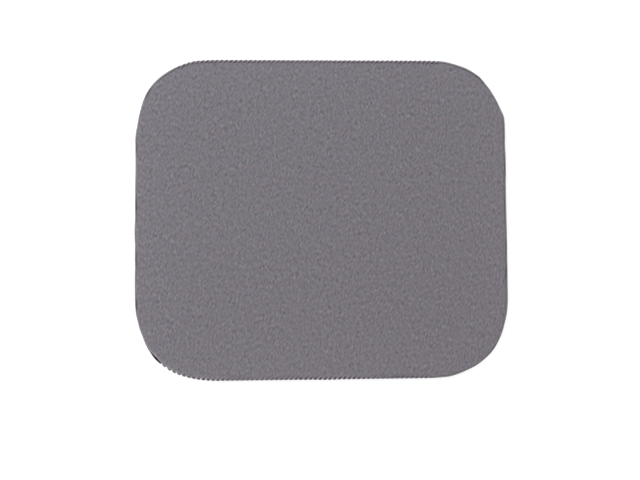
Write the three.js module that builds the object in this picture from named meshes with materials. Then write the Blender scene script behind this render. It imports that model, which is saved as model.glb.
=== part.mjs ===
// A soft desk mouse pad: a knitted cloth face bonded to a sheet of sponge rubber with a grip skin below.
// Millimetres, +Z up. The origin is the centre of the underside, +X runs across the pad and +Y to its back.
import * as THREE from 'three';
import { mergeVertices } from 'three/addons/utils/BufferGeometryUtils.js';

// The outline that one die cuts through the whole laminate
const PAD_WIDTH = 235;
const PAD_DEPTH = 202;
const CORNER_REACH = 53.5; // along each side, from where the corner starts to where the sides would meet
const CORNER_POWER = 2.4; // 2 is a round corner, and more bends it less at its ends than in its middle
const CORNER_STEPS = 24; // chords that draw one corner

// Thickness of each layer, from the desk up
const BASE_THICKNESS = 0.875;
const CORE_THICKNESS = 4.375;
const FILM_THICKNESS = 0.125;
const CLOTH_THICKNESS = 0.625;

// The cut edge
const CLOTH_SETBACK = 0.35; // the cloth and its film shrink back this far from the sponge's lip
const CLOTH_ROLL = 0.4; // radius of the cloth's rolled upper edge
const ROLL_STEPS = 4;
const WALL_HOLLOW = 0.4; // depth of the hollow that the die leaves round the sponge's wall
const WALL_STEPS = 6;

// Heights of the faces where one layer meets the next
const CORE_BOTTOM = BASE_THICKNESS;
const CORE_TOP = CORE_BOTTOM + CORE_THICKNESS;
const FILM_TOP = CORE_TOP + FILM_THICKNESS;
const PAD_TOP = FILM_TOP + CLOTH_THICKNESS;

// Points of the outline, drawn a given distance inside the cut, in counter-clockwise order.
function outline(inset) {
  const reach = CORNER_REACH - inset;
  const centreX = PAD_WIDTH / 2 - CORNER_REACH;
  const centreY = PAD_DEPTH / 2 - CORNER_REACH;
  const points = [];
  for (const [sideX, sideY, quarter] of [[1, 1, 0], [-1, 1, 1], [-1, -1, 2], [1, -1, 3]]) {
    for (let k = 0; k <= CORNER_STEPS; k += 1) {
      const turn = (quarter + k / CORNER_STEPS) * (Math.PI / 2);
      const across = Math.cos(turn);
      const along = Math.sin(turn);
      const power = Math.abs(across) ** CORNER_POWER + Math.abs(along) ** CORNER_POWER;
      const radius = reach / power ** (1 / CORNER_POWER);
      points.push(new THREE.Vector2(sideX * centreX + radius * across, sideY * centreY + radius * along));
    }
  }
  return points;
}

// A closed layer whose edge follows the outline through levels of { inset, z }, the lowest first.
function layer(levels) {
  const rings = levels.map((level) => outline(level.inset));
  const count = rings[0].length;
  const positions = rings.flatMap((ring, k) => ring.flatMap((point) => [point.x, point.y, levels[k].z]));
  const indices = [];
  for (let k = 0; k + 1 < rings.length; k += 1) {
    for (let i = 0; i < count; i += 1) {
      const next = (i + 1) % count;
      const lower = k * count;
      const upper = lower + count;
      indices.push(lower + i, lower + next, upper + next, lower + i, upper + next, upper + i);
    }
  }
  const top = (rings.length - 1) * count;
  for (const [a, b, c] of THREE.ShapeUtils.triangulateShape(rings[0], [])) {
    indices.push(c, b, a);
  }
  for (const [a, b, c] of THREE.ShapeUtils.triangulateShape(rings[rings.length - 1], [])) {
    indices.push(top + a, top + b, top + c);
  }
  const geometry = new THREE.BufferGeometry();
  geometry.setAttribute('position', new THREE.Float32BufferAttribute(positions, 3));
  geometry.setIndex(indices);
  const closed = mergeVertices(geometry);
  closed.computeVertexNormals();
  return closed;
}

// Levels of an edge that stands straight up.
function straightEdge(inset, bottom, top) {
  return [
    { inset, z: bottom },
    { inset, z: top },
  ];
}

// Levels of the sponge's wall, which draws in between its lower and upper lips.
function hollowEdge(bottom, top, depth) {
  return Array.from({ length: WALL_STEPS + 1 }, (_, k) => {
    const share = k / WALL_STEPS;
    const z = k === WALL_STEPS ? top : bottom + (top - bottom) * share;
    return { inset: depth * Math.sin(Math.PI * share), z };
  });
}

// Levels of the cloth's edge, which stands straight and then rolls over into the face.
function rolledEdge(inset, bottom, top, radius) {
  const roll = Math.min(radius, top - bottom);
  const levels = roll < top - bottom ? [{ inset, z: bottom }] : [];
  for (let k = 0; k <= ROLL_STEPS; k += 1) {
    const angle = (Math.PI / 2) * (k / ROLL_STEPS);
    const z = k === ROLL_STEPS ? top : top - roll + roll * Math.sin(angle);
    levels.push({ inset: inset + roll * (1 - Math.cos(angle)), z });
  }
  return levels;
}

function piece(name, levels, finish) {
  const mesh = new THREE.Mesh(layer(levels), new THREE.MeshStandardMaterial({ metalness: 0, ...finish }));
  mesh.name = name;
  return mesh;
}

const skinEdge = straightEdge(0, 0, CORE_BOTTOM);
const spongeEdge = hollowEdge(CORE_BOTTOM, CORE_TOP, WALL_HOLLOW);
const filmEdge = straightEdge(CLOTH_SETBACK, CORE_TOP, FILM_TOP);
const clothEdge = rolledEdge(CLOTH_SETBACK, FILM_TOP, PAD_TOP, CLOTH_ROLL);

const mousePad = new THREE.Group();
mousePad.name = 'mouse_pad';
mousePad.add(
  piece('nonskid_base', skinEdge, { color: 0x232122, roughness: 0.8 }),
  piece('sponge_core', spongeEdge, { color: 0x332d2f, roughness: 1 }),
  piece('bond_film', filmEdge, { color: 0x4b4547, roughness: 0.5 }),
  piece('top_cloth', clothEdge, { color: 0x7b767d, roughness: 0.95 }),
);

export default mousePad;
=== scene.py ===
# A soft desk mouse pad: knitted cloth bonded to sponge rubber with a grip skin below, cut out by one die.
import math
from collections import namedtuple

import bpy
from mathutils import Matrix, Vector, noise
from mathutils.geometry import delaunay_2d_cdt


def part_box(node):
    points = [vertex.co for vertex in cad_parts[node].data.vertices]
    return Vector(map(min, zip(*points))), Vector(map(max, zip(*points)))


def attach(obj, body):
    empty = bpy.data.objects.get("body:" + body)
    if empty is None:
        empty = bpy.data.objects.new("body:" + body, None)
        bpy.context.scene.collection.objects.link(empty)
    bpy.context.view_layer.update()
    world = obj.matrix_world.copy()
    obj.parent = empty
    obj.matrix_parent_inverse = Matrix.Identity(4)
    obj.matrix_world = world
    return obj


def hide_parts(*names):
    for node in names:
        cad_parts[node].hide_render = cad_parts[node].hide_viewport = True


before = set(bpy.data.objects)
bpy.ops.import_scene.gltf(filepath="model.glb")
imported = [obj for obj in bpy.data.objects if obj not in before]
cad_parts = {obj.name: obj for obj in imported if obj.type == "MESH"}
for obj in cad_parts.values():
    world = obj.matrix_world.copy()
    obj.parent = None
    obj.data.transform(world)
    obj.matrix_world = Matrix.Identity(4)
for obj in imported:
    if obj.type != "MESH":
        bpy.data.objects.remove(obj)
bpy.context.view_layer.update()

# Sizes are in metres, and MM turns a size in millimetres into one
MM = 0.001
BODY = "root"

# Levels and half sizes of the layers, from the frame
BASE_LOW, BASE_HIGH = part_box("nonskid_base")
CLOTH_LOW, CLOTH_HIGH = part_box("top_cloth")
HALF_WIDTH = BASE_HIGH.x
HALF_DEPTH = BASE_HIGH.y
DESK = BASE_LOW.z
CORE_BOTTOM = BASE_HIGH.z
CORE_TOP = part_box("sponge_core")[1].z
FILM_TOP = CLOTH_LOW.z
PAD_TOP = CLOTH_HIGH.z

# The outline that the die cuts: straight sides, and corners that bend most in their middle
CORNER_REACH = 53.5 * MM
CORNER_POWER = 2.4
# About how long a corner's curve is, which says how many points it gets
CORNER_LENGTH = 1.6 * CORNER_REACH
# Where the straight sides end
STRAIGHT_X = HALF_WIDTH - CORNER_REACH
STRAIGHT_Y = HALF_DEPTH - CORNER_REACH

# A stretch of the rim: the middle of it in millimetres, how far it reaches each way, and what changes there
Stretch = namedtuple("Stretch", "x y reach amount")

# Where the cut strays inward from the outline, or outward where the amount is negative
STRAYS = (
    Stretch(117.5, 18.0, 34, 0.2),
    Stretch(117.5, 28.5, 8, -0.12),
    Stretch(117.5, 47.5, 9, 0.32),
    Stretch(116.2, 63.5, 9, -0.6),
    Stretch(115.6, 65.0, 4, -0.2),
    Stretch(113.5, 73.0, 7, 0.2),
    Stretch(110.2, 79.5, 10, 0.5),
    Stretch(105.4, 86.2, 6, 0.2),
    Stretch(101.2, 90.2, 6, -0.2),
    Stretch(94.0, 95.0, 15, -0.5),
    Stretch(79.0, 100.0, 10, -0.42),
    Stretch(-82.0, 99.0, 12, -0.46),
    Stretch(-91.0, 96.5, 6, -0.14),
    Stretch(-104.0, 88.0, 20, -0.3),
    Stretch(-112.3, 76.0, 6, 0.08),
    Stretch(-114.3, 71.5, 8, 0.2),
    Stretch(-115.9, 64.5, 14, 0.68),
    Stretch(-117.0, 58.0, 9, 0.25),
    Stretch(-117.5, 47.0, 7, 0.08),
    Stretch(-117.5, 34.0, 18, 0.22),
    Stretch(-117.5, -7.5, 9, -0.3),
    Stretch(-117.5, -33.0, 22, -0.2),
    Stretch(-117.5, -30.0, 8, 0.16),
    Stretch(-116.2, -63.5, 6, 0.3),
    Stretch(-113.3, -72.5, 12, 0.65),
    Stretch(-106.2, -85.3, 5, -0.14),
    Stretch(-103.5, -88.0, 7, -0.38),
    Stretch(-94.0, -94.5, 14, -0.4),
    Stretch(2.0, -101.0, 13, -0.18),
    Stretch(79.6, -99.8, 7, -0.25),
    Stretch(91.5, -96.2, 8, 0.22),
    Stretch(106.0, -84.0, 34, 0.14),
    Stretch(107.2, -84.0, 9, -0.22),
    Stretch(115.4, -67.0, 8, 0.22),
)

# Where the cut is ragged like a saw, going in at once at the end of each rib and out again up to the next
RAGGED = (
    Stretch(-95.0, -94.0, 15, 1.2),
    Stretch(-77.0, -100.0, 20, 0.5),
)
SAW_SHARPNESS = 3
SAW_SHIFT = 0.1

# The cloth's cut edge: how far it stays behind the sponge's lip, and how it rolls down to the cut
EDGE_SETBACK = 0.9 * MM
SETBACK_WANDER = 0.16 * MM
WANDER_LENGTH = 7 * MM
CUT_FACE = 0.2 * MM
ROLL = 0.45 * MM
ROLL_STEPS = 4
PRESSED_DOWN = 0.16 * MM
PRESSED_REACH = 3.2 * MM
# How far in from the cut the fray and the painted light and shade of the ribs fade out
WEAR_AND_LIGHT_REACH = 2.2 * MM
# How far in from the cut the nick's lifted lip is paler: pale cut fibres and a painted highlight
LIP_REACH = 1.1 * MM
RIM_PALE = 0.055

# Where the cloth has pulled back further, or less far where the amount is negative
PULLS = (
    Stretch(117.5, 5.0, 60, 0.35),
    Stretch(117.3, 57.0, 12, 0.35),
    Stretch(112.0, 76.0, 9, -0.5),
    Stretch(91.0, 96.0, 32, 0.7),
    Stretch(-80.0, 100.0, 10, -0.25),
    Stretch(-98.0, 91.5, 18, 0.85),
    Stretch(-110.5, 79.0, 8, 0.4),
    Stretch(-116.0, 63.0, 15, -0.35),
    Stretch(-117.5, 45.0, 9, 0.45),
    Stretch(-117.5, 4.0, 24, 0.52),
    Stretch(-117.5, -10.0, 11, -0.7),
    Stretch(-117.5, -26.0, 14, 0.65),
    Stretch(-117.5, -46.0, 6, -0.3),
    Stretch(-117.4, -53.0, 7, 0.5),
    Stretch(-100.0, -91.0, 26, -0.85),
    Stretch(-52.0, -101.0, 46, -0.65),
    Stretch(32.0, -101.0, 14, -0.3),
    Stretch(82.0, -99.0, 14, 0.3),
    Stretch(106.0, -85.0, 34, -0.15),
    Stretch(117.0, -57.0, 10, 0.2),
    Stretch(117.5, -37.0, 14, 0.4),
    Stretch(117.5, -9.0, 7, -0.3),
    Stretch(-10.0, 101.0, 45, -0.3),
)

# The nick at the front left corner, where cloth and film have pulled back and the cloth's lip has lifted
NICKS = (
    Stretch(-103.9, -88.3, 4.4, 1.15),
    Stretch(-106.5, -85.7, 4.8, 0.95),
)
# The lifted lip and how much paler it is near its cut, partly pale cut fibres and partly a painted highlight
# on the lip
NICK_LIP = Stretch(-106.3, -85.6, 8, 1.1)
NICK_LIFT = 0.3 * MM
TEAR_SHARPNESS = 3
# The frayed fringe beside it, which hides the painted shade between the ribs
FRINGE = Stretch(-101.0, -90.0, 30, 0.2)
FRINGE_COVER = 2

# Ends of the cloth's ribs along the back and front edges, between teeth in the sponge's lip
RibRow = namedtuple("RibRow", "side first count pitch setback tooth lint length dip inner_tone end_tone")
# The yarn's tone inside and at the cut end: the lighter ends are partly splayed filaments and partly painted
# light, and the front row is painted lighter to offset the shade on its ends, which face away from the lamp
BACK_RIBS = RibRow(
    side=1, first=-88.4 * MM, count=55, pitch=3.0 * MM, setback=1.7 * MM, tooth=0.24 * MM, lint=0.5,
    length=3.1 * MM, dip=0.25 * MM, inner_tone=0.8, end_tone=1.6,
)
FRONT_RIBS = RibRow(
    side=-1, first=-101.2 * MM, count=56, pitch=3.04 * MM, setback=1.25 * MM, tooth=0.24 * MM, lint=0.3,
    length=3.3 * MM, dip=0.0, inner_tone=0.98, end_tone=1.7,
)
# Where the ribs stand out more, or less where the amount is negative
BOLDNESS = (
    Stretch(-66.0, 101.0, 30, 0.2),
    Stretch(-2.0, 101.0, 48, -0.6),
    Stretch(-75.0, -100.3, 14, 0.3),
    Stretch(-67.0, -101.0, 12, 0.1),
    Stretch(-53.0, -101.0, 14, -0.5),
    Stretch(-30.0, -101.0, 20, -0.22),
    Stretch(9.0, -101.0, 22, 0.37),
    Stretch(43.0, -101.0, 22, -0.75),
    Stretch(61.0, -101.0, 16, -0.3),
)
RIB_WIDTH = 1.5 * MM
RIB_TAPER = 0.3
RIB_UNEVEN_WIDTH = 0.2
RIB_LEAN = 0.32
RIB_CURVE = 0.21 / MM
RIB_STOP = 0.08 * MM
# How far in from the cut the rib ends are painted lighter, partly splayed filaments and partly painted light
RIB_PALE_AND_LIT = 1.3 * MM
RIB_FADE = 3 * MM
# Painted shade on the cloth near the ribbed cut, partly the dark backing showing through: its mean, and how
# much lighter on the ribs and darker between them it is painted
RIB_SHADE = -0.06
RIB_STREAK = 0.13
RIB_DARK = 0.72
# How squarely the cut faces the back or front where its ribs begin to show, and until they show in full
RIB_FACING = 0.5
RIB_FACING_FADE = 0.1
TOOTH_HEIGHT = 3 * MM

# The film reaches past the cloth, and lint has settled on its outer edge
FILM_SETBACK = 0.15 * MM
LINT_WIDTH = 0.45 * MM
LINT_FADE = 0.4 * MM
# Where the lint has been brushed off, so that the film's edge shows darker
BRUSHED_OFF = (
    Stretch(117.5, 33.5, 9, 0.7),
    Stretch(101.2, 90.2, 8, 0.6),
    Stretch(-91.0, 96.5, 8, 0.7),
    Stretch(-109.6, 80.6, 7, 0.8),
    Stretch(-117.5, 46.0, 7, 0.6),
    Stretch(-117.5, 9.0, 9, 1.0),
    Stretch(-117.5, -24.0, 7, 0.5),
    Stretch(-117.4, -53.0, 7, 1.0),
    Stretch(-10.5, -101.0, 8, 0.7),
    Stretch(107.0, -84.0, 10, 0.6),
    Stretch(117.5, -34.0, 8, 0.7),
    Stretch(117.5, -18.5, 8, 0.7),
)

# Loose filaments of the cut yarn that lie over the lip, drawn thicker than real ones so that they show
FILAMENT_PITCH = 0.36 * MM
FILAMENT_WIDTH = 0.09 * MM
FILAMENT_ROOT = 0.6 * MM
FILAMENT_REACH = 0.8 * MM
FILAMENT_DROOP = 0.25 * MM
FILAMENT_CURL = 0.2 * MM
FILAMENT_TAPER = 0.7
FILAMENT_TONE = 1.3
# How much they differ among themselves: shares of their width and length, and radians
FILAMENT_UNEVEN_WIDTH = 0.4
FILAMENT_UNEVEN_LENGTH = 0.6
FILAMENT_UNEVEN_TURN = 0.7
# What part of their full reach they have in most places, and where they reach further
LEAST_FRAY = 0.3
FRAYED = (
    Stretch(-5.0, 101.0, 75, 0.5),
    Stretch(-117.5, 22.0, 14, 0.4),
    Stretch(-117.5, -10.0, 15, 1.0),
    Stretch(-117.5, -30.0, 14, 0.4),
    Stretch(-117.5, -46.0, 9, 0.8),
)

# The sponge's cut wall and its open cells
WALL_HOLLOW = 0.4 * MM
LEDGE_WIDTH = 3 * MM
CELL_SIZE = 0.8 * MM
CELL_DEPTH = 0.28 * MM
# A cell's open middle and its rim, as shares of its size
CELL_MIDDLE = 0.15
CELL_RIM = 0.6
# The share of the wall's height over which the cells close up toward its edges
CLOSING_SHARE = 1 / 6

# Studs that emboss the grip skin
STUD_PITCH = 2.4 * MM
STUD_WIDTH = 1.5 * MM
STUD_TIP_SHARE = 0.7
STUD_HEIGHT = 0.25 * MM
STUD_ROOT = 0.1 * MM
SKIN_BEVEL = 0.15 * MM

# How finely the meshes are drawn, and how near two points count as one
RIM_STEP = 0.3 * MM
WALL_STEP = 0.3 * MM
FILL_STEP = 5 * MM
FILL_CLEARANCE = 1 * MM
SAME_POINT = 1e-9

# Seed of what differs from one rib or filament to the next
SEED = 4

# A point of the rim, and the direction in which the cut faces there
RimPoint = namedtuple("RimPoint", "place outward")


# The outline

def corner_measure(across, along):
    """How far a point lies from a corner's centre, as the corner's curve measures it."""
    return (abs(across) ** CORNER_POWER + abs(along) ** CORNER_POWER) ** (1 / CORNER_POWER)


def facing(across, along):
    """The outward direction of a corner at a point given from the corner's centre."""
    slope = CORNER_POWER - 1
    x = math.copysign(abs(across) ** slope, across)
    y = math.copysign(abs(along) ** slope, along)
    return Vector((x, y)).normalized()


def corner_point(quarter, share):
    """The rim at a share of the way round a corner, counting corners from the back right one."""
    turn = (quarter + share) * math.pi / 2
    spoke = Vector((math.cos(turn), math.sin(turn)))
    centre_x = STRAIGHT_X if quarter in (0, 3) else -STRAIGHT_X
    centre_y = STRAIGHT_Y if quarter in (0, 1) else -STRAIGHT_Y
    place = Vector((centre_x, centre_y)) + spoke * CORNER_REACH / corner_measure(*spoke)
    return RimPoint(place, facing(*spoke))


def ease(share):
    """0 below 0, 1 above 1, and a smooth step between."""
    kept = min(max(share, 0), 1)
    return kept * kept * (3 - 2 * kept)


def share_of(stretch, place):
    """1 in the middle of a stretch, falling to 0 at its reach."""
    distance = (place / MM - Vector((stretch.x, stretch.y))).length
    return ease(1 - distance / stretch.reach)


def change_at(place, stretches):
    """What the amounts of some stretches add up to at a place."""
    return sum(stretch.amount * share_of(stretch, place) for stretch in stretches)


def strayed(point):
    """A point of the outline, moved to where the cut really runs."""
    stray = change_at(point.place, STRAYS) * MM
    return RimPoint(point.place - point.outward * (stray + notch(point)), point.outward)


def rim(step):
    """Points round the cut, counter-clockwise from the back end of the right side."""
    points = []
    for quarter in range(4):
        count = round(CORNER_LENGTH / step)
        points += [corner_point(quarter, number / count) for number in range(count)]
        start = corner_point(quarter, 1)
        end = corner_point((quarter + 1) % 4, 0)
        count = round((end.place - start.place).length / step)
        for number in range(count):
            points.append(RimPoint(start.place.lerp(end.place, number / count), start.outward))
    return [strayed(point) for point in points]


def inside(x, y):
    """About how far a point lies inside the cut outline."""
    return CORNER_REACH - corner_measure(max(abs(x) - STRAIGHT_X, 0), max(abs(y) - STRAIGHT_Y, 0))


def at(point, inset, height):
    """A point of the rim drawn in by an inset, at a height."""
    place = point.place - point.outward * inset
    return Vector((place.x, place.y, height))


# The cut edge

def rib_row(point):
    """The row of ribs on a rim point's side of the pad."""
    return BACK_RIBS if point.outward.y > 0 else FRONT_RIBS


def rib_share(point):
    """1 where the cut edge shows rib ends, 0 where it doesn't, with a soft change between."""
    row = rib_row(point)
    last = row.first + (row.count - 1) * row.pitch
    before = ease((point.place.x - row.first) / RIB_FADE + 1)
    after = ease((last - point.place.x) / RIB_FADE + 1)
    return before * after * ease((abs(point.outward.y) - RIB_FACING) / RIB_FACING_FADE)


def boldness(point):
    """How much the ribs and teeth stand out at a rim point, where 1 is as usual."""
    return 1 + change_at(point.place, BOLDNESS)


def rib_lean(depth):
    """How far a rib has leaned aside at a depth inside the cut edge, where it leans more further in."""
    return depth * (RIB_LEAN + RIB_CURVE * depth)


def rib_wave(point, depth):
    """1 on a rib and -1 midway between two, at a depth inside the cut edge."""
    row = rib_row(point)
    along = point.place.x + row.side * rib_lean(depth) - row.first
    return math.cos(2 * math.pi * along / row.pitch)


def notch(point):
    """How deep the ragged cut goes in."""
    row = rib_row(point)
    past = ((point.place.x - row.first) / row.pitch + SAW_SHIFT) % 1
    ragged = change_at(point.place, RAGGED) * MM
    return ragged * (1 - past) ** SAW_SHARPNESS * rib_share(point)


def tooth(point):
    """How far the sponge's lip draws in at a rib's end, or stands out between two, where it is negative."""
    height = rib_row(point).tooth * (1 + boldness(point)) / 2
    return height / 2 * rib_wave(point, 0) * rib_share(point)


def cloth_setback(point):
    """How far the cloth's cut edge stays behind the sponge's lip."""
    wander = SETBACK_WANDER * noise.noise(Vector((*point.place, 0)) / WANDER_LENGTH)
    ribbed = (rib_row(point).setback - EDGE_SETBACK) * rib_share(point)
    pulled = change_at(point.place, PULLS + NICKS) * MM
    return max(EDGE_SETBACK + wander + ribbed + pulled, FILM_SETBACK + tooth(point))


def film_setback(point):
    """The film reaches past the cloth to the lip, but it has come away with the cloth at the nick."""
    torn = ease(TEAR_SHARPNESS * sum(share_of(nick, point.place) for nick in NICKS))
    reach = FILM_SETBACK + tooth(point)
    return reach + (cloth_setback(point) - reach) * torn


def lint_cover(point):
    """How thickly lint lies on the film's edge, from 0, where there is none."""
    ribbed = (1 - rib_row(point).lint) * rib_share(point) * boldness(point) ** 2
    bare = change_at(point.place, BRUSHED_OFF)
    return max(1 - ribbed - bare, 0)


def cloth_wear_and_painted_light(point, depth):
    """How much lighter the cloth's edge is where it has frayed, plus painted light on its ribs and painted
    shade between them, below 0, which is partly the dark backing showing through.
    """
    fringe = share_of(FRINGE, point.place)
    streak = RIB_SHADE + RIB_STREAK * rib_wave(point, depth)
    return FRINGE.amount * fringe + streak * rib_share(point) * (1 - ease(FRINGE_COVER * fringe))


def rim_pale(spot):
    """How much paler the cloth is toward the rim, where the mouse hasn't polished it."""
    return RIM_PALE * max(1 - inside(spot.x, spot.y) / CORNER_REACH, 0) ** 2


def cloth_height(run):
    """Height of the cloth above its film, a given run in from its cut edge."""
    pressed = PRESSED_DOWN * max(1 - run / PRESSED_REACH, 0) ** 2
    crown = PAD_TOP - FILM_TOP - pressed
    rolled = math.sqrt(1 - max(1 - run / ROLL, 0) ** 2)
    return CUT_FACE + (crown - CUT_FACE) * rolled


# Meshes and nodes

class Shell:
    """Points and faces of one closed piece."""

    def __init__(self):
        self.points = []
        self.faces = []

    def ring(self, points):
        """Adds points and returns their numbers."""
        start = len(self.points)
        self.points += points
        return range(start, len(self.points))

    def band(self, lower, upper):
        """Adds outward faces between two rings that run counter-clockwise, seen from the upper one."""
        for number in range(len(lower)):
            after = (number + 1) % len(lower)
            self.faces.append((lower[number], lower[after], upper[after], upper[number]))

    def loft(self, rings):
        """Adds faces along a row of rings and over both its ends."""
        for lower, upper in zip(rings, rings[1:]):
            self.band(lower, upper)
        self.faces += [tuple(reversed(rings[0])), tuple(rings[-1])]

    def cap(self, ring, margin, height, upward):
        """Fills a ring with triangles, over a grid of points further inside the outline than a margin."""
        flat = [self.points[number].xy for number in ring]
        across = math.ceil(HALF_WIDTH / FILL_STEP)
        along = math.ceil(HALF_DEPTH / FILL_STEP)
        for column in range(-across, across + 1):
            for row in range(-along, along + 1):
                if inside(column * FILL_STEP, row * FILL_STEP) > margin + FILL_STEP / 2:
                    flat.append(Vector((column * FILL_STEP, row * FILL_STEP)))
        border = [(number, (number + 1) % len(ring)) for number in range(len(ring))]
        only_inside = 1
        points, _, triangles, sources, _, _ = delaunay_2d_cdt(flat, border, [], only_inside, SAME_POINT)
        numbers = []
        for point, source in zip(points, sources):
            if source[0] < len(ring):
                numbers.append(ring[source[0]])
            else:
                numbers.append(len(self.points))
                self.points.append(Vector((point.x, point.y, height)))
        for triangle in triangles:
            corners = [numbers[corner] for corner in triangle]
            self.faces.append(corners if upward else corners[::-1])

    def mark(self, piece, name, values):
        """Keeps a number on each of the first points, and 0 on the rest."""
        rest = [0.0] * (len(self.points) - len(values))
        piece.data.attributes.new(name, "FLOAT", "POINT").data.foreach_set("value", values + rest)

    def piece(self, name, material=None, crease=40):
        """An object of this shape, shaded smooth but for edges sharper than a crease in degrees."""
        mesh = bpy.data.meshes.new(name)
        mesh.from_pydata([tuple(point) for point in self.points], [], self.faces)
        mesh.shade_smooth()
        mesh.set_sharp_from_angle(angle=math.radians(crease))
        if material:
            mesh.materials.append(material)
        return placed(name, mesh)


def placed(name, data):
    """An object in the scene that holds a mesh, a lamp or a camera."""
    holder = bpy.data.objects.new(name, data)
    bpy.context.scene.collection.objects.link(holder)
    return holder


def fill(tree, node, inputs):
    """Sets a node's inputs, or links them to a socket or to another node's first output."""
    for name, value in inputs.items():
        source = value.outputs[0] if isinstance(value, bpy.types.Node) else value
        if isinstance(source, bpy.types.NodeSocket):
            tree.links.new(source, node.inputs[name])
        else:
            node.inputs[name].default_value = source


def add(tree, kind, inputs=None, **settings):
    """Adds a node, sets its properties and fills its inputs."""
    node = tree.nodes.new(kind)
    for name, value in settings.items():
        setattr(node, name, value)
    fill(tree, node, inputs or {})
    return node


def colour(code):
    """Linear colour of an sRGB hex code."""
    linear = []
    for start in (1, 3, 5):
        level = int(code[start:start + 2], 16) / 255
        linear.append(level / 12.92 if level <= 0.04045 else ((level + 0.055) / 1.055) ** 2.4)
    return (*linear, 1.0)


def set_ramp(node, stops):
    """Gives a colour ramp its two stops, each a position and a colour."""
    for element, (position, code) in zip(node.color_ramp.elements, stops):
        element.position = position
        element.color = colour(code)


def blank_material(name):
    """A material with its tree and shader, and the piece's own coordinates."""
    material = bpy.data.materials.new(name)
    material.use_nodes = True
    tree = material.node_tree
    shader = tree.nodes["Principled BSDF"]
    place = add(tree, "ShaderNodeTexCoord").outputs["Object"]
    return material, tree, shader, place


def blank_geometry(name, sizes):
    """A geometry tree, and what it is given: a mesh, a named input for each size, and a material."""
    tree = bpy.data.node_groups.new(name, "GeometryNodeTree")
    tree.interface.new_socket("Geometry", in_out="OUTPUT", socket_type="NodeSocketGeometry")
    kinds = {"Geometry": "NodeSocketGeometry", **sizes, "Material": "NodeSocketMaterial"}
    for given, kind in kinds.items():
        tree.interface.new_socket(given, in_out="INPUT", socket_type=kind)
    return tree, add(tree, "NodeGroupInput").outputs


def dress(tree, given, made):
    """Ends a geometry tree: what it has made becomes a plain mesh with its material."""
    real = add(tree, "GeometryNodeRealizeInstances", {"Geometry": made})
    dressed = add(tree, "GeometryNodeSetMaterial", {"Geometry": real, "Material": given["Material"]})
    add(tree, "NodeGroupOutput", {"Geometry": dressed})
    return tree


def grown(piece, tree, values):
    """Runs a geometry tree on a piece and keeps the result as a plain mesh."""
    modifier = piece.modifiers.new(tree.name, "NODES")
    modifier.node_group = tree
    for item in tree.interface.items_tree:
        if item.name in values:
            modifier[item.identifier] = values[item.name]
    graph = bpy.context.evaluated_depsgraph_get()
    mesh = bpy.data.meshes.new_from_object(piece.evaluated_get(graph), depsgraph=graph)
    mesh.name = piece.name
    piece.modifiers.remove(modifier)
    piece.data = mesh
    return piece


# Materials

def knit_loops(tree, place):
    """The knit's loops: the height at each spot of them, from 0 to 1, and a chance of each loop's own."""
    # The real loops are about half as wide, and are drawn this coarse so that they show
    wale = 1.0 * MM
    course = 1.2 * MM
    # How far a loop's legs slant, in courses, and how much lower they lie where two courses meet
    slant = 0.6
    dip = 0.2
    loops = add(tree, "ShaderNodeMapping", {"Vector": place, "Scale": (1 / wale, 1 / course, 1)})
    split = add(tree, "ShaderNodeSeparateXYZ", {"Vector": loops}).outputs
    half = add(tree, "ShaderNodeMath", {0: split["X"], 1: 0.5}, operation="PINGPONG")
    fold = add(tree, "ShaderNodeMath", {0: half, 1: 2.0}, operation="MULTIPLY")
    row = add(tree, "ShaderNodeMath", {0: fold, 1: slant, 2: split["Y"]}, operation="MULTIPLY_ADD")
    turn = add(tree, "ShaderNodeMath", {0: row, 1: math.pi}, operation="MULTIPLY")
    wave = add(tree, "ShaderNodeMath", {0: turn}, operation="SINE")
    bow = add(tree, "ShaderNodeMath", {0: wave}, operation="ABSOLUTE")
    arc = add(tree, "ShaderNodeMath", {0: fold, 1: math.pi}, operation="MULTIPLY")
    leg = add(tree, "ShaderNodeMath", {0: arc}, operation="SINE")
    body = add(tree, "ShaderNodeMath", {0: bow, 1: dip, 2: 1 - dip}, operation="MULTIPLY_ADD")
    height = add(tree, "ShaderNodeMath", {0: leg, 1: body}, operation="MULTIPLY")

    column = add(tree, "ShaderNodeMath", {0: split["X"], 1: 2.0}, operation="MULTIPLY")
    stitch = add(tree, "ShaderNodeCombineXYZ", {"X": column, "Y": row})
    cell = add(tree, "ShaderNodeVectorMath", {0: stitch}, operation="FLOOR")
    chance = add(tree, "ShaderNodeTexWhiteNoise", {"Vector": cell}, noise_dimensions="2D")
    return height, chance


def brushed_nap(tree, place):
    """The nap of brushed fibre: how much lighter or darker it makes each spot, and its upper clumps."""
    # Two layers of it: the lean in degrees, the clump's size across and along it, and how it shows
    layers = ((-30, 1.1 * MM, 2.5 * MM, 0.46), (20, 1.15 * MM, 2.3 * MM, 0.37))
    # Some patches are brushed up more than others
    brushed_patch = 7 * MM
    shade = -sum(amount for _, _, _, amount in layers) / 2
    for lean, across, along, amount in layers:
        spread = add(tree, "ShaderNodeMapping", {
            "Vector": place, "Rotation": (0, 0, math.radians(lean)), "Scale": (across, along, 1),
        }, vector_type="TEXTURE")
        clumps = add(tree, "ShaderNodeTexNoise", {
            "Vector": spread, "Scale": 1.0, "Detail": 0.0,
        }, noise_dimensions="2D")
        shade = add(tree, "ShaderNodeMath", {0: clumps, 1: amount, 2: shade}, operation="MULTIPLY_ADD")
    patches = add(tree, "ShaderNodeTexNoise", {
        "Vector": place, "Scale": 1 / brushed_patch, "Detail": 1.0,
    }, noise_dimensions="2D")
    raised = add(tree, "ShaderNodeMapRange", {
        "Value": patches, "From Min": 0.25, "From Max": 0.75, "To Min": 0.6, "To Max": 1.4,
    })
    shown = add(tree, "ShaderNodeMath", {0: shade, 1: raised}, operation="MULTIPLY")
    return shown, clumps


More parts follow.
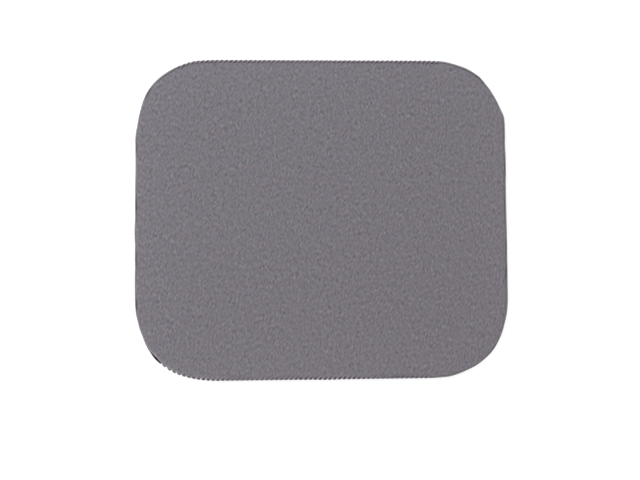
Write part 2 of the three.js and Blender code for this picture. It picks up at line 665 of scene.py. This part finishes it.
def brushed_knit():
    """Brushed polyester knit: matt, in rows of small loops that each catch the light in their own way."""
    # The dye is uneven in patches, and drifts from blue at the back left to red at the front right
    dye_patch = 4.4 * MM
    dye_drift_per_metre = (0.21, -0.34, 0)
    # Two sets of fine ribs that cross at a narrow angle: their spacing both ways, and how it shows
    ribs = ((1.887 * MM, 10.53 * MM, 0.02), (1.667 * MM, -10.53 * MM, 0.015))
    # How much a loop's own chance and its height change its tone, and its tone where it is lowest: the
    # height's part is painted shade in the low parts between the loops
    chance_spread = 0.14
    height_spread = 0.2
    lowest_shade_tone = 0.92
    material, tree, shader, place = blank_material("brushed_knit")
    height, chance = knit_loops(tree, place)
    nap, clumps = brushed_nap(tree, place)

    # The cloth edge's fray and paleness, with painted light on the ribs and painted shade between them
    wear = add(tree, "ShaderNodeAttribute", attribute_name="wear")
    shade = add(tree, "ShaderNodeMath", {0: nap, 1: wear.outputs["Fac"]}, operation="ADD")
    for across, along, amount in ribs:
        turns = (2 * math.pi / across, 2 * math.pi / along, 0)
        turn = add(tree, "ShaderNodeVectorMath", {0: place, 1: turns}, operation="DOT_PRODUCT")
        crest = add(tree, "ShaderNodeMath", {0: turn.outputs["Value"]}, operation="SINE")
        shade = add(tree, "ShaderNodeMath", {0: crest, 1: amount, 2: shade}, operation="MULTIPLY_ADD")
    nap_tone = add(tree, "ShaderNodeMath", {0: shade, 1: 1.0}, operation="ADD")
    chance_tone = add(tree, "ShaderNodeMath", {
        0: chance, 1: chance_spread, 2: 1 - chance_spread / 2,
    }, operation="MULTIPLY_ADD")
    # Painted shade: the loops' low parts are darker
    height_shade_tone = add(tree, "ShaderNodeMath", {
        0: height, 1: height_spread, 2: lowest_shade_tone,
    }, operation="MULTIPLY_ADD")
    loop_tone = add(tree, "ShaderNodeMath", {0: chance_tone, 1: height_shade_tone}, operation="MULTIPLY")
    tone = add(tree, "ShaderNodeMath", {0: nap_tone, 1: loop_tone}, operation="MULTIPLY")

    patches = add(tree, "ShaderNodeTexNoise", {
        "Vector": place, "Scale": 1 / dye_patch, "Detail": 3.0, "Roughness": 0.8,
    }, noise_dimensions="2D")
    drift = add(tree, "ShaderNodeVectorMath", {0: place, 1: dye_drift_per_metre}, operation="DOT_PRODUCT")
    hue = add(tree, "ShaderNodeMath", {0: patches, 1: drift.outputs["Value"]}, operation="ADD")
    dye = add(tree, "ShaderNodeValToRGB", {"Fac": hue})
    set_ramp(dye, ((0.26, "#78777F"), (0.74, "#7D757B")))
    yarn = add(tree, "ShaderNodeVectorMath", {0: dye, "Scale": tone}, operation="SCALE")
    rough = add(tree, "ShaderNodeMapRange", {"Value": clumps, "To Min": 0.98, "To Max": 0.86})
    bump = add(tree, "ShaderNodeBump", {"Height": height, "Strength": 0.6, "Distance": 0.12 * MM})
    fill(tree, shader, {
        "Base Color": yarn,
        "Roughness": rough,
        "Normal": bump,
        "Specular IOR Level": 0.2,
        "Sheen Weight": 0.1,
        "Sheen Roughness": 0.5,
    })
    return material


def cut_yarn():
    """Cut ends of the same yarn, lighter where the filaments splay and where painted light stands in for
    light on the rib ends, with fine strands.
    """
    strand = 0.25 * MM
    material, tree, shader, place = blank_material("cut_yarn")
    strands = add(tree, "ShaderNodeTexNoise", {"Vector": place, "Scale": 1 / strand, "Detail": 2.0})
    yarn = add(tree, "ShaderNodeValToRGB", {"Fac": strands})
    set_ramp(yarn, ((0.3, "#7D7880"), (0.7, "#959098")))
    bump = add(tree, "ShaderNodeBump", {"Height": strands, "Strength": 0.4, "Distance": 0.1 * MM})
    tone = add(tree, "ShaderNodeAttribute", attribute_name="tone").outputs["Fac"]
    bold = add(tree, "ShaderNodeAttribute", attribute_name="boldness").outputs["Fac"]
    stand = add(tree, "ShaderNodeMath", {0: tone, 1: bold, 2: RIB_DARK}, operation="MULTIPLY_ADD")
    toned = add(tree, "ShaderNodeVectorMath", {0: yarn, "Scale": stand}, operation="SCALE")
    fill(tree, shader, {"Base Color": toned, "Normal": bump, "Roughness": 0.9, "Specular IOR Level": 0.2})
    return material


def hot_melt_film():
    """Hot-melt adhesive: a thin smoky film, uneven where it flowed, with pale lint on its outer edge."""
    flow_size = 2.5 * MM
    lint_size = 1.1 * MM
    material, tree, shader, place = blank_material("hot_melt_film")
    flow = add(tree, "ShaderNodeTexNoise", {"Vector": place, "Scale": 1 / flow_size, "Detail": 2.0})
    film = add(tree, "ShaderNodeValToRGB", {"Fac": flow})
    set_ramp(film, ((0.3, "#4D484D"), (0.7, "#655F66")))
    fibres = add(tree, "ShaderNodeTexNoise", {"Vector": place, "Scale": 1 / lint_size, "Detail": 2.0})
    lint = add(tree, "ShaderNodeAttribute", attribute_name="lint")
    patchy = add(tree, "ShaderNodeMapRange", {"Value": fibres, "To Min": 0.5, "To Max": 1.1})
    cover = add(tree, "ShaderNodeMath", {0: lint.outputs["Fac"], 1: patchy}, operation="MULTIPLY")
    dusted = add(tree, "ShaderNodeMix", {0: cover, 6: film, 7: colour("#9C979E")}, data_type="RGBA")
    gloss = add(tree, "ShaderNodeMapRange", {"Value": flow, "To Min": 0.5, "To Max": 0.75})
    fill(tree, shader, {"Base Color": dusted.outputs[2], "Roughness": gloss, "Specular IOR Level": 0.3})
    return material


def open_cell_sponge():
    """Black sponge rubber, die cut: dull, brown-black, with open cells whose middles are painted darker, as
    painted shade in the pits.
    """
    dust_size = 9 * MM
    material, tree, shader, place = blank_material("open_cell_sponge")
    cells = add(tree, "ShaderNodeTexVoronoi", {"Vector": place, "Scale": 1 / CELL_SIZE})
    dust = add(tree, "ShaderNodeTexNoise", {"Vector": place, "Scale": 1 / dust_size, "Detail": 4.0})
    # Painted shade: each cell darker in its middle than at its rim
    wall = add(tree, "ShaderNodeValToRGB", {"Fac": cells})
    set_ramp(wall, ((CELL_MIDDLE, "#211B1C"), (CELL_RIM, "#413739")))
    tone = add(tree, "ShaderNodeMapRange", {"Value": dust, "To Min": 0.8, "To Max": 1.2})
    rubber = add(tree, "ShaderNodeVectorMath", {0: wall, "Scale": tone}, operation="SCALE")
    bump = add(tree, "ShaderNodeBump", {"Height": cells, "Strength": 0.5, "Distance": 0.15 * MM})
    fill(tree, shader, {"Base Color": rubber, "Normal": bump, "Roughness": 0.95, "Specular IOR Level": 0.25})
    return material


def grip_skin_rubber():
    """Dense black rubber skin pressed against a cloth: satin on the studs, duller where dust lies."""
    dust_size = 14 * MM
    press_size = 0.35 * MM
    material, tree, shader, place = blank_material("grip_skin_rubber")
    dust = add(tree, "ShaderNodeTexNoise", {"Vector": place, "Scale": 1 / dust_size, "Detail": 5.0})
    press = add(tree, "ShaderNodeTexNoise", {"Vector": place, "Scale": 1 / press_size, "Detail": 1.0})
    rubber = add(tree, "ShaderNodeValToRGB", {"Fac": dust})
    set_ramp(rubber, ((0.35, "#1B191A"), (0.75, "#2B2829")))
    gloss = add(tree, "ShaderNodeMapRange", {"Value": dust, "To Min": 0.5, "To Max": 0.8})
    bump = add(tree, "ShaderNodeBump", {"Height": press, "Strength": 0.3, "Distance": 0.05 * MM})
    fill(tree, shader, {"Base Color": rubber, "Roughness": gloss, "Normal": bump})
    return material


# Pieces

def cloth_face(material):
    """The knitted sheet: its cut face, its rolled edge and the flat that the mouse runs on."""
    points = rim(RIM_STEP)
    setbacks = [cloth_setback(point) for point in points]
    lips = [share_of(NICK_LIP, point.place) for point in points]
    cut = list(zip(points, setbacks, lips))
    roll_runs = [ROLL * (1 - math.cos(math.pi / 2 * step / ROLL_STEPS)) for step in range(ROLL_STEPS + 1)]
    flat_runs = [0.8 * MM, 1.4 * MM, WEAR_AND_LIGHT_REACH, PRESSED_REACH, 6 * MM]
    shell = Shell()
    foot = shell.ring([at(point, setback, FILM_TOP) for point, setback, _ in cut])
    # Each point's fray and the painted light and shade of the ribs, fading in from the cut
    wear = [cloth_wear_and_painted_light(point, setback) for point, setback, _ in cut]
    last = foot
    for run in roll_runs + flat_runs:
        height = FILM_TOP + cloth_height(run)
        lift = NICK_LIFT * max(1 - run / PRESSED_REACH, 0) ** 2
        wear_and_light_fade = ease(1 - run / WEAR_AND_LIGHT_REACH)
        # The nick's lip: pale cut fibres and a painted highlight on the lifted lip
        pale = NICK_LIP.amount * ease(1 - run / LIP_REACH)
        ring = shell.ring([at(point, setback + run, height + lift * lip) for point, setback, lip in cut])
        wear += [wear_and_light_fade * cloth_wear_and_painted_light(point, setback + run) + pale * lip for point, setback, lip in cut]
        shell.band(last, ring)
        last = ring
    margin = max(setbacks) + flat_runs[-1] + FILL_CLEARANCE
    shell.cap(last, margin, PAD_TOP, upward=True)
    shell.cap(foot, margin, FILM_TOP, upward=False)
    piece = shell.piece("cloth_face", material)
    wear += [0.0] * (len(shell.points) - len(wear))
    shell.mark(piece, "wear", [rim_pale(spot) + amount for spot, amount in zip(shell.points, wear)])
    return piece


def rib_end(row):
    """One cut rib along +Y, from inside the cloth to its cut end near the origin."""
    # Shares of its length, its height above the cloth at each in millimetres, and the arch of its section
    runs = [1.0, 0.8, 0.6, 0.42, 0.26, 0.12, 0.03, 0.0]
    crests = [-0.12, 0.03, 0.09, 0.08, 0.02, -0.12, -0.3, -0.45]
    section = [(-1.0, 0.0), (-0.88, 0.72), (-0.45, 1.0), (0.45, 1.0), (0.88, 0.72), (1.0, 0.0)]
    shell = Shell()
    tones = []
    rings = []
    for run, crest in zip(runs, crests):
        depth = RIB_STOP + run * row.length
        lean = rib_lean(depth)
        top = PAD_TOP + crest * MM - row.dip * run ** 2
        half = RIB_WIDTH / 2 * (1 - RIB_TAPER * run)
        rings.append(shell.ring([
            Vector((x * half - lean, -depth, CORE_TOP + z * (top - CORE_TOP))) for x, z in section
        ]))
        # Lighter toward the cut end: partly splayed filaments, partly painted light
        pale = ease(1 - run * row.length / RIB_PALE_AND_LIT)
        tones += [row.inner_tone + (row.end_tone - row.inner_tone) * pale - RIB_DARK] * len(section)
    shell.loft(rings)
    piece = shell.piece("rib_end")
    shell.mark(piece, "tone", tones)
    return piece


def rib_seat(row, number):
    """Where a rib meets the cut edge."""
    x = row.first + number * row.pitch
    across = max(abs(x) - STRAIGHT_X, 0) / CORNER_REACH
    along = (1 - across ** CORNER_POWER) ** (1 / CORNER_POWER)
    place = Vector((x, row.side * (STRAIGHT_Y + CORNER_REACH * along)))
    return strayed(RimPoint(place, facing(math.copysign(across, x), row.side * along)))


def filament():
    """One loose filament along +Y, from its root on the film to a fine tip past the lip, at the origin."""
    runs = [0.0, 0.35, 0.7, 1.0]
    section = [(-1.0, -0.5), (0.0, 1.0), (1.0, -0.5)]
    shell = Shell()
    rings = []
    for run in runs:
        half = FILAMENT_WIDTH / 2 * (1 - FILAMENT_TAPER * run)
        place = run * (FILAMENT_ROOT + FILAMENT_REACH) - FILAMENT_ROOT
        height = FILM_TOP + FILAMENT_WIDTH / 2 - FILAMENT_DROOP * run ** 3
        rings.append(shell.ring([
            Vector((FILAMENT_CURL * run ** 2 + x * half, place, height + z * half)) for x, z in section
        ]))
    shell.loft(rings)
    piece = shell.piece("filament")
    shell.mark(piece, "tone", [FILAMENT_TONE - RIB_DARK] * len(shell.points))
    return piece


def sown_nodes():
    """Geometry nodes that set a pattern on each point, turned to the cut edge, each a little different."""
    tree, given = blank_geometry("sown_along_the_cut", {
        "Pattern": "NodeSocketObject",
        "Uneven Width": "NodeSocketFloat",
        "Uneven Length": "NodeSocketFloat",
        "Uneven Turn": "NodeSocketFloat",
        "Seed": "NodeSocketInt",
    })
    pattern = add(tree, "GeometryNodeObjectInfo", {"Object": given["Pattern"]})
    chances = []
    for number, spread in enumerate(("Uneven Width", "Uneven Length", "Uneven Turn")):
        least = add(tree, "ShaderNodeMath", {0: given[spread], 1: -1.0}, operation="MULTIPLY")
        seed = add(tree, "ShaderNodeMath", {0: given["Seed"], 1: number}, operation="ADD")
        chance = add(tree, "FunctionNodeRandomValue", {"Min": least, "Max": given[spread], "Seed": seed})
        chances.append(chance.outputs["Value"])
    turn = add(tree, "GeometryNodeInputNamedAttribute", {"Name": "turn"}, data_type="FLOAT")
    angle = add(tree, "ShaderNodeMath", {0: turn.outputs["Attribute"], 1: chances[2]}, operation="ADD")
    axis = add(tree, "FunctionNodeAxisAngleToRotation", {"Axis": (0, 0, 1), "Angle": angle})
    reach = add(tree, "GeometryNodeInputNamedAttribute", {"Name": "reach"}, data_type="FLOAT")
    width = add(tree, "ShaderNodeMath", {0: chances[0], 1: 1.0}, operation="ADD")
    share = add(tree, "ShaderNodeMath", {0: chances[1], 1: 1.0}, operation="ADD")
    length = add(tree, "ShaderNodeMath", {0: share, 1: reach.outputs["Attribute"]}, operation="MULTIPLY")
    size = add(tree, "ShaderNodeCombineXYZ", {"X": width, "Y": length, "Z": 1.0})
    copies = add(tree, "GeometryNodeInstanceOnPoints", {
        "Points": given["Geometry"],
        "Instance": pattern.outputs["Geometry"],
        "Rotation": axis,
        "Scale": size,
    })
    return dress(tree, given, copies)


def sown(name, seats, pattern, reaches, boldnesses, tree, values):
    """One piece made of a pattern set on the lip at each seat."""
    shell = Shell()
    shell.ring([at(seat, tooth(seat), 0) for seat in seats])
    piece = shell.piece(name)
    shell.mark(piece, "turn", [math.atan2(-seat.outward.x, seat.outward.y) for seat in seats])
    shell.mark(piece, "reach", reaches)
    shell.mark(piece, "boldness", boldnesses)
    grown(piece, tree, {"Pattern": pattern, "Seed": SEED, **values})
    bpy.data.objects.remove(pattern)
    return piece


def rib_ends(name, row, tree, material):
    """One row of cut rib ends, along the back or the front edge."""
    seats = [rib_seat(row, number) for number in range(row.count)]
    boldnesses = [boldness(seat) for seat in seats]
    return sown(name, seats, rib_end(row), [1.0] * len(seats), boldnesses, tree, {
        "Uneven Width": RIB_UNEVEN_WIDTH, "Uneven Length": 0.0, "Uneven Turn": 0.0, "Material": material,
    })


def loose_filaments(tree, material):
    """Fine filaments all round the cut, apart from the nick, where the film that holds them is gone."""
    seats = [point for point in rim(FILAMENT_PITCH) if film_setback(point) < FILAMENT_ROOT * LEAST_FRAY]
    reaches = [LEAST_FRAY + change_at(seat.place, FRAYED) for seat in seats]
    return sown("loose_filaments", seats, filament(), reaches, [1.0] * len(seats), tree, {
        "Uneven Width": FILAMENT_UNEVEN_WIDTH,
        "Uneven Length": FILAMENT_UNEVEN_LENGTH,
        "Uneven Turn": FILAMENT_UNEVEN_TURN,
        "Material": material,
    })


def film_line(material):
    """The adhesive film, which shows as a line past the cloth's cut edge."""
    points = rim(RIM_STEP)
    setbacks = [film_setback(point) for point in points]
    cut = list(zip(points, setbacks))
    shell = Shell()
    foot = shell.ring([at(point, setback, CORE_TOP) for point, setback in cut])
    covers = [lint_cover(point) for point in points]
    lint = list(covers)
    last = foot
    for run, share in ((0, 1.0), (LINT_WIDTH, 1.0), (LINT_WIDTH + LINT_FADE, 0.0)):
        ring = shell.ring([at(point, setback + run, FILM_TOP) for point, setback in cut])
        lint += [share * cover for cover in covers]
        shell.band(last, ring)
        last = ring
    margin = max(setbacks) + LINT_WIDTH + LINT_FADE + FILL_CLEARANCE
    shell.cap(last, margin, FILM_TOP, upward=True)
    shell.cap(foot, margin, CORE_TOP, upward=False)
    piece = shell.piece("film_line", material)
    shell.mark(piece, "lint", lint)
    return piece


def open_cell_nodes():
    """Geometry nodes that sink cells into a cut wall, each as deep as its chance and the wall let it."""
    tree, given = blank_geometry("open_cells", {
        "Cell Size": "NodeSocketFloat",
        "Cell Depth": "NodeSocketFloat",
    })
    per_metre = add(tree, "ShaderNodeMath", {0: 1.0, 1: given["Cell Size"]}, operation="DIVIDE")
    cells = add(tree, "ShaderNodeTexVoronoi", {"Scale": per_metre}).outputs
    pit = add(tree, "ShaderNodeMapRange", {
        "Value": cells["Distance"],
        "From Min": CELL_MIDDLE,
        "From Max": CELL_RIM,
        "To Min": 1.0,
        "To Max": 0.0,
    }, interpolation_type="SMOOTHSTEP")
    chance = add(tree, "ShaderNodeSeparateXYZ", {"Vector": cells["Color"]})
    burst = add(tree, "ShaderNodeMapRange", {"Value": chance.outputs["X"], "To Min": 0.25, "To Max": 1.0})
    opened = add(tree, "GeometryNodeInputNamedAttribute", {"Name": "openness"}, data_type="FLOAT")
    share = add(tree, "ShaderNodeMath", {0: pit, 1: burst}, operation="MULTIPLY")
    here = add(tree, "ShaderNodeMath", {0: share, 1: opened.outputs["Attribute"]}, operation="MULTIPLY")
    deep = add(tree, "ShaderNodeMath", {0: here, 1: given["Cell Depth"]}, operation="MULTIPLY")
    inward = add(tree, "ShaderNodeMath", {0: deep, 1: -1.0}, operation="MULTIPLY")
    normal = add(tree, "GeometryNodeInputNormal")
    offset = add(tree, "ShaderNodeVectorMath", {
        0: normal.outputs["Normal"], "Scale": inward,
    }, operation="SCALE")
    pitted = add(tree, "GeometryNodeSetPosition", {"Geometry": given["Geometry"], "Offset": offset})
    return dress(tree, given, pitted)


def sponge_body(material):
    """The sponge sheet: a hollowed cut wall with open cells, and a lip that has teeth between the ribs."""
    points = rim(WALL_STEP)
    teeth = [tooth(point) for point in points]
    rows = round((CORE_TOP - CORE_BOTTOM) / WALL_STEP)
    shell = Shell()
    foot = shell.ring([at(point, LEDGE_WIDTH, CORE_BOTTOM) for point in points])
    openness = [0.0] * len(points)
    last = foot
    for row in range(rows + 1):
        share = row / rows
        height = CORE_BOTTOM + (CORE_TOP - CORE_BOTTOM) * share
        hollow = WALL_HOLLOW * math.sin(math.pi * share)
        kept = ease(1 - (CORE_TOP - height) / TOOTH_HEIGHT)
        insets = [max(hollow + min(depth, 0) * kept, depth * kept) for depth in teeth]
        ring = shell.ring([at(point, inset, height) for point, inset in zip(points, insets)])
        openness += [ease(min(share, 1 - share) / CLOSING_SHARE)] * len(points)
        shell.band(last, ring)
        last = ring
    ledge = shell.ring([at(point, LEDGE_WIDTH, CORE_TOP) for point in points])
    shell.band(last, ledge)
    shell.cap(ledge, LEDGE_WIDTH, CORE_TOP, upward=True)
    shell.cap(foot, LEDGE_WIDTH, CORE_BOTTOM, upward=False)
    piece = shell.piece("sponge_body", material, crease=60)
    shell.mark(piece, "openness", openness)
    return grown(piece, open_cell_nodes(), {
        "Cell Size": CELL_SIZE, "Cell Depth": CELL_DEPTH, "Material": material,
    })


def grip_stud():
    """One embossed stud, a low pyramid that stands on its small face."""
    shell = Shell()
    half = STUD_WIDTH / 2
    small = half * STUD_TIP_SHARE
    top = DESK + STUD_HEIGHT + STUD_ROOT
    square = [(-1, -1), (1, -1), (1, 1), (-1, 1)]
    tip = shell.ring([Vector((x * small, y * small, DESK)) for x, y in square])
    root = shell.ring([Vector((x * half, y * half, top)) for x, y in square])
    shell.loft([tip, root])
    return shell.piece("grip_stud", crease=20)


def stud_nodes():
    """Geometry nodes that add studs to a skin, in diagonal rows, as far as its round corners let them."""
    diagonal = (0, 0, math.pi / 4)
    tree, given = blank_geometry("diagonal_studs", {
        "Stud": "NodeSocketObject",
        "Pitch": "NodeSocketFloat",
        "Reach": "NodeSocketFloat",
        "Straight": "NodeSocketVector",
        "Corner Reach": "NodeSocketFloat",
        "Corner Power": "NodeSocketFloat",
    })
    power = given["Corner Power"]
    count = add(tree, "ShaderNodeMath", {0: given["Reach"], 1: given["Pitch"]}, operation="DIVIDE")
    whole = add(tree, "ShaderNodeMath", {0: count}, operation="ROUND")
    size = add(tree, "ShaderNodeMath", {0: whole, 1: given["Pitch"]}, operation="MULTIPLY")
    rows = add(tree, "ShaderNodeMath", {0: whole, 1: 1.0}, operation="ADD")
    grid = add(tree, "GeometryNodeMeshGrid", {
        "Size X": size,
        "Size Y": size,
        "Vertices X": rows,
        "Vertices Y": rows,
    })
    turned = add(tree, "GeometryNodeTransform", {"Geometry": grid.outputs["Mesh"], "Rotation": diagonal})
    where = add(tree, "GeometryNodeInputPosition")
    folded = add(tree, "ShaderNodeVectorMath", {0: where}, operation="ABSOLUTE")
    past = add(tree, "ShaderNodeVectorMath", {0: folded, 1: given["Straight"]}, operation="SUBTRACT")
    corner = add(tree, "ShaderNodeVectorMath", {0: past, 1: (0, 0, 0)}, operation="MAXIMUM")
    split = add(tree, "ShaderNodeSeparateXYZ", {"Vector": corner})
    across = add(tree, "ShaderNodeMath", {0: split.outputs["X"], 1: power}, operation="POWER")
    along = add(tree, "ShaderNodeMath", {0: split.outputs["Y"], 1: power}, operation="POWER")
    both = add(tree, "ShaderNodeMath", {0: across, 1: along}, operation="ADD")
    limit = add(tree, "ShaderNodeMath", {0: given["Corner Reach"], 1: power}, operation="POWER")
    outside = add(tree, "FunctionNodeCompare", {"A": both, "B": limit}, operation="GREATER_THAN")
    seats = add(tree, "GeometryNodeDeleteGeometry", {"Geometry": turned, "Selection": outside})
    stud = add(tree, "GeometryNodeObjectInfo", {"Object": given["Stud"]})
    copies = add(tree, "GeometryNodeInstanceOnPoints", {
        "Points": seats, "Instance": stud.outputs["Geometry"], "Rotation": diagonal,
    })
    joined = add(tree, "GeometryNodeJoinGeometry")
    tree.links.new(given["Geometry"], joined.inputs[0])
    tree.links.new(copies.outputs[0], joined.inputs[0])
    return dress(tree, given, joined)


def grip_base(material):
    """The rubber skin, with rows of studs set diagonally over its underside."""
    points = rim(RIM_STEP)
    under = DESK + STUD_HEIGHT
    shell = Shell()
    lower = shell.ring([at(point, SKIN_BEVEL, under) for point in points])
    edge = shell.ring([at(point, 0, under + SKIN_BEVEL) for point in points])
    upper = shell.ring([at(point, 0, CORE_BOTTOM) for point in points])
    shell.band(lower, edge)
    shell.band(edge, upper)
    shell.cap(upper, 0, CORE_BOTTOM, upward=True)
    shell.cap(lower, 0, under, upward=False)
    piece = shell.piece("grip_base", material)
    pattern = grip_stud()
    grown(piece, stud_nodes(), {
        "Stud": pattern,
        "Pitch": STUD_PITCH,
        "Reach": 2 * math.hypot(HALF_WIDTH, HALF_DEPTH),
        "Straight": (STRAIGHT_X, STRAIGHT_Y, 1.0),
        "Corner Reach": CORNER_REACH - STUD_WIDTH,
        "Corner Power": CORNER_POWER,
        "Material": material,
    })
    bpy.data.objects.remove(pattern)
    return piece


# Studio

def seen_share(tree):
    """1 for the rays that show a surface as it is: from the camera, off a gloss or through glass."""
    ray = add(tree, "ShaderNodeLightPath").outputs
    shown = add(tree, "ShaderNodeMath", {
        0: ray["Is Camera Ray"], 1: ray["Is Glossy Ray"],
    }, operation="MAXIMUM")
    return add(tree, "ShaderNodeMath", {0: shown, 1: ray["Is Transmission Ray"]}, operation="MAXIMUM")


def pale_floor():
    """A wide white floor that keeps the pad's soft shadow."""
    half = 4.0
    corners = [(-half, -half, DESK), (half, -half, DESK), (half, half, DESK), (-half, half, DESK)]
    mesh = bpy.data.meshes.new("pale_floor")
    mesh.from_pydata(corners, [], [(0, 1, 2, 3)])
    material = bpy.data.materials.new("white_sweep")
    material.use_nodes = True
    tree = material.node_tree
    tree.nodes.remove(tree.nodes["Principled BSDF"])
    matt = add(tree, "ShaderNodeBsdfDiffuse", {"Color": colour("#C4C4C4")})
    veil = add(tree, "ShaderNodeBsdfDiffuse", {"Color": colour("#AAAAAA")})
    glow = add(tree, "ShaderNodeEmission", {"Color": colour("#FFFFFF"), "Strength": 0.8})
    lit = add(tree, "ShaderNodeAddShader", {0: veil, 1: glow})
    mixed = add(tree, "ShaderNodeMixShader", {0: seen_share(tree), 1: matt, 2: lit})
    tree.links.new(mixed.outputs[0], tree.nodes["Material Output"].inputs["Surface"])
    mesh.materials.append(material)
    placed("pale_floor", mesh)


def soft_light():
    """An even white room and one broad lamp above the back left of the pad."""
    world = bpy.data.worlds.new("white_room")
    bpy.context.scene.world = world
    world.use_nodes = True
    tree = world.node_tree
    room = tree.nodes["Background"]
    room.inputs["Color"].default_value = colour("#FFFFFF")
    room.inputs["Strength"].default_value = 0.63
    backdrop = add(tree, "ShaderNodeBackground", {"Color": colour("#FFFFFF"), "Strength": 1.0})
    mixed = add(tree, "ShaderNodeMixShader", {0: seen_share(tree), 1: room, 2: backdrop})
    tree.links.new(mixed.outputs[0], tree.nodes["World Output"].inputs["Surface"])
    lamp = bpy.data.lights.new("broad_lamp", "AREA")
    lamp.shape = "DISK"
    lamp.size = 0.9
    lamp.energy = 10.8
    holder = placed("broad_lamp", lamp)
    holder.location = (-0.9, 0.6, 1.0)
    holder.rotation_euler = (-holder.location).to_track_quat("-Z", "Y").to_euler()


def camera():
    """Almost straight above the pad, leaning a little to its front left."""
    aim = Vector((-1.80 * MM, -13.39 * MM, CORE_TOP))
    distance = 561.1 * MM
    lean_x = math.sin(math.radians(-2.639))
    lean_y = math.sin(math.radians(-2.236))
    roll = math.radians(-0.414)
    back = Vector((lean_x, lean_y, math.sqrt(1 - lean_x ** 2 - lean_y ** 2)))
    level = Vector((0, 1, 0)).cross(back).normalized()
    upright = back.cross(level)
    right = level * math.cos(roll) + upright * math.sin(roll)
    up = upright * math.cos(roll) - level * math.sin(roll)
    data = bpy.data.cameras.new("camera")
    data.lens = 50
    data.sensor_width = 36
    holder = placed("camera", data)
    turn = Matrix((right, up, back)).transposed().to_4x4()
    holder.matrix_world = Matrix.Translation(aim + back * distance) @ turn
    bpy.context.scene.camera = holder


camera()
soft_light()
pale_floor()

cloth = cloth_face(brushed_knit())
yarn = cut_yarn()
sowing = sown_nodes()
back_ribs = rib_ends("back_rib_ends", BACK_RIBS, sowing, yarn)
front_ribs = rib_ends("front_rib_ends", FRONT_RIBS, sowing, yarn)
filaments = loose_filaments(sowing, yarn)
film = film_line(hot_melt_film())
sponge = sponge_body(open_cell_sponge())
base = grip_base(grip_skin_rubber())

for piece, node, slot in (
    (cloth, "top_cloth", "knit_cloth"),
    (film, "bond_film", "bond_film"),
    (sponge, "sponge_core", "sponge_rubber"),
    (base, "nonskid_base", "grip_rubber"),
):
    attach(piece, BODY)
    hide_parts(node)
for ends in (back_ribs, front_ribs, filaments):
    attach(ends, BODY)

bpy.context.scene.view_settings.view_transform = "Standard"
